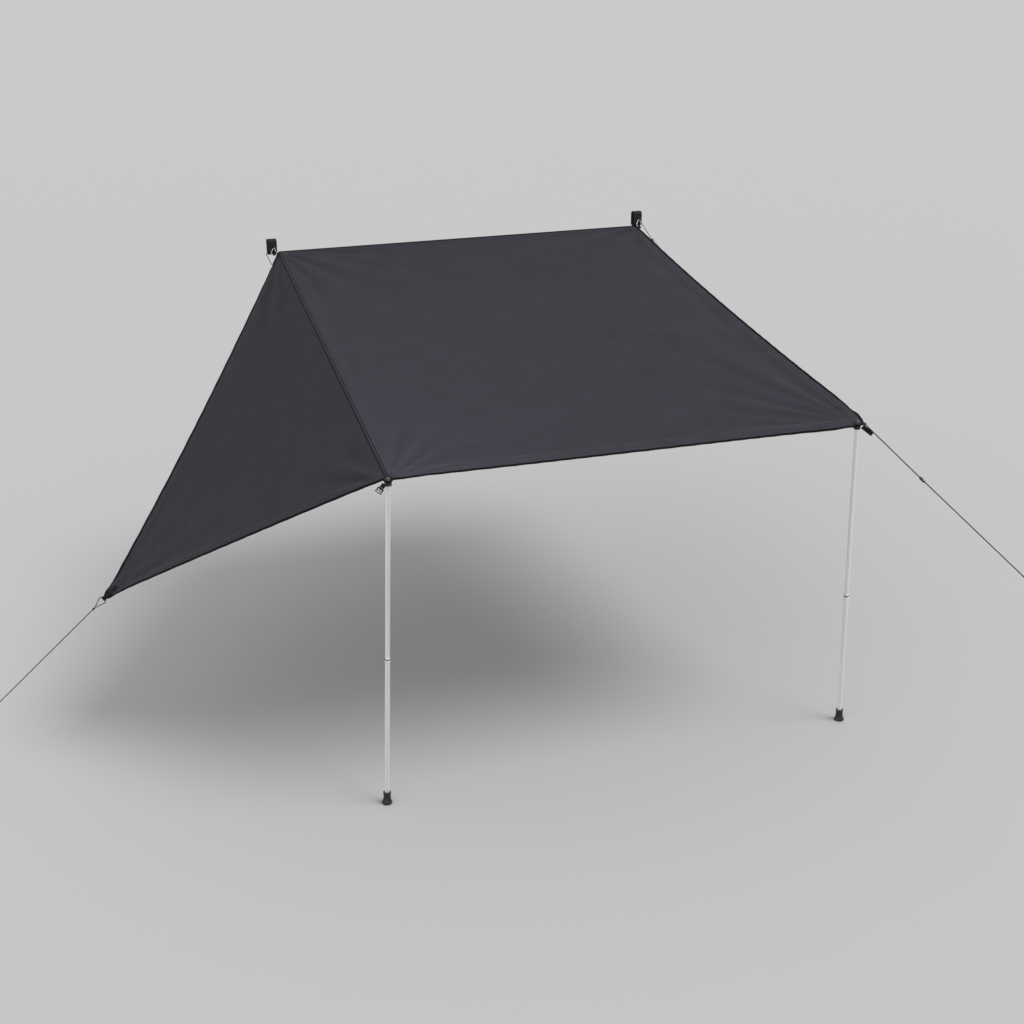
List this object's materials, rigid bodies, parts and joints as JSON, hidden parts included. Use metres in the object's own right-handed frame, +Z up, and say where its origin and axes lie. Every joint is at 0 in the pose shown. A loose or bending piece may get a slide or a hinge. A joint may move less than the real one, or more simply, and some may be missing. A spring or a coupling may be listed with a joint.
{
  "type": "vehicle side awning",
  "caption": "Side awning panel with a folded-down wing, roof-rack loops, sectional poles, corner hardware and tensioned guylines.",
  "frame": {"origin": "inside top of the rear-left roof loop, where a roof rack's bar carries it", "axes": "+X along the awning's rear edge to the right-hand loop, -Y out from the vehicle towards the two poles, +Z up"},
  "size_m": [5.2774, 3.5718, 2.3199],
  "materials": {
    "roof_cloth": "woven",
    "wing_cloth": "woven",
    "webbing": "woven",
    "cord": "braided",
    "bright_steel": "polished",
    "dark_wire": "satin",
    "aluminium": "satin",
    "black_plastic": "matte",
    "rubber": "matte"
  },
  "bodies": {
    "canopy": {"canopy_panel": "roof_cloth", "tape_front": "webbing", "tape_right": "webbing", "tape_rear": "roof_cloth", "crease_seam": "roof_cloth", "patch_front_left": "roof_cloth", "patch_front_right": "roof_cloth", "patch_rear_left": "roof_cloth", "patch_rear_right": "roof_cloth", "eyelet_left": "bright_steel", "eyelet_right": "bright_steel", "hook_sleeve_right": "black_plastic", "edge_hook_right": "bright_steel", "guy_disc_right": "black_plastic", "spigot_dome_left": "bright_steel", "spigot_dome_right": "bright_steel", "link_cord_right": "cord", "roof_loop_left": "webbing", "roof_loop_right": "webbing", "corner_ring_left": "bright_steel", "corner_ring_right": "bright_steel", "delta_ring_left": "dark_wire", "guyline_right": "cord", "guy_hook_right": "bright_steel"},
    "wing": {"wing_panel": "wing_cloth", "tape_wing_lower": "webbing", "tape_wing_side": "webbing", "wing_tip_patch": "wing_cloth", "wing_tip_tab": "webbing"},
    "tip_ring": {"wing_delta_ring": "dark_wire", "guyline_left": "cord", "guy_hook_left": "bright_steel"},
    "left_pole": {"upper_tube_left": "aluminium", "lower_tube_left": "aluminium", "button_spring_left": "bright_steel", "joint_ferrule_left": "aluminium", "top_cap_left": "black_plastic", "spigot_pin_left": "bright_steel", "foot_left": "rubber"},
    "right_pole": {"upper_tube_right": "aluminium", "lower_tube_right": "aluminium", "button_spring_right": "bright_steel", "joint_ferrule_right": "aluminium", "top_cap_right": "black_plastic", "spigot_pin_right": "bright_steel", "foot_right": "rubber"},
    "left_button": {"snap_button_left": "bright_steel"},
    "right_button": {"snap_button_right": "bright_steel"},
    "left_tail": {"tail_strap_left": "webbing"},
    "left_buckle": {"tail_buckle_left": "black_plastic"},
    "right_tail": {"tail_strap_right": "webbing"},
    "tensioner": {"guy_tensioner_right": "black_plastic"}
  },
  "joints": [
    {"name": "wing_fold", "type": "hinge", "parent": "canopy", "child": "wing", "pos_m": [0.009, -2.904, -0.5215], "axis": [0.0119, 0.9886, 0.1501], "range_deg": [-50, 38]},
    {"name": "left_pole_tilt", "type": "hinge", "parent": "canopy", "child": "left_pole", "pos_m": [0.009, -2.904, -0.5215], "axis": [1, 0, 0], "range_deg": [-12, 12]},
    {"name": "right_pole_tilt", "type": "hinge", "parent": "canopy", "child": "right_pole", "pos_m": [2.506, -2.904, -0.5215], "axis": [1, 0, 0], "range_deg": [-12, 12]},
    {"name": "left_button_press", "type": "slide", "parent": "left_pole", "child": "left_button", "axis": [0.3418, -0.9397, -0.0123], "range_m": [0, 0.003], "stiffness_N_per_m": 800, "springref_m": -0.002},
    {"name": "right_button_press", "type": "slide", "parent": "right_pole", "child": "right_button", "axis": [0, 1, 0], "range_m": [0, 0.003], "stiffness_N_per_m": 800, "springref_m": -0.002},
    {"name": "tip_ring_swing", "type": "hinge", "parent": "wing", "child": "tip_ring", "pos_m": [-1.30722, -1.89821, -1.41166], "axis": [-0.5899, 0.4844, 0.6461], "range_deg": [-25, 25]},
    {"name": "left_tail_swing", "type": "hinge", "parent": "canopy", "child": "left_tail", "pos_m": [-0.013, -2.9285, -0.5295], "axis": [-0.76, 0, 0.65], "range_deg": [-25, 25]},
    {"name": "left_buckle_swing", "type": "hinge", "parent": "left_tail", "child": "left_buckle", "pos_m": [-0.03229, -2.9285, -0.55205], "axis": [-0.76, 0, 0.65], "range_deg": [-30, 30]},
    {"name": "right_tail_swing", "type": "hinge", "parent": "canopy", "child": "right_tail", "pos_m": [2.5265, -2.9226, -0.5346], "axis": [0.6771, 0.0973, 0.7295], "range_deg": [0, 30]},
    {"name": "tensioner_slide", "type": "slide", "parent": "canopy", "child": "tensioner", "axis": [0.5936, -0.4981, -0.6321], "range_m": [0, 0.25]}
  ]
}
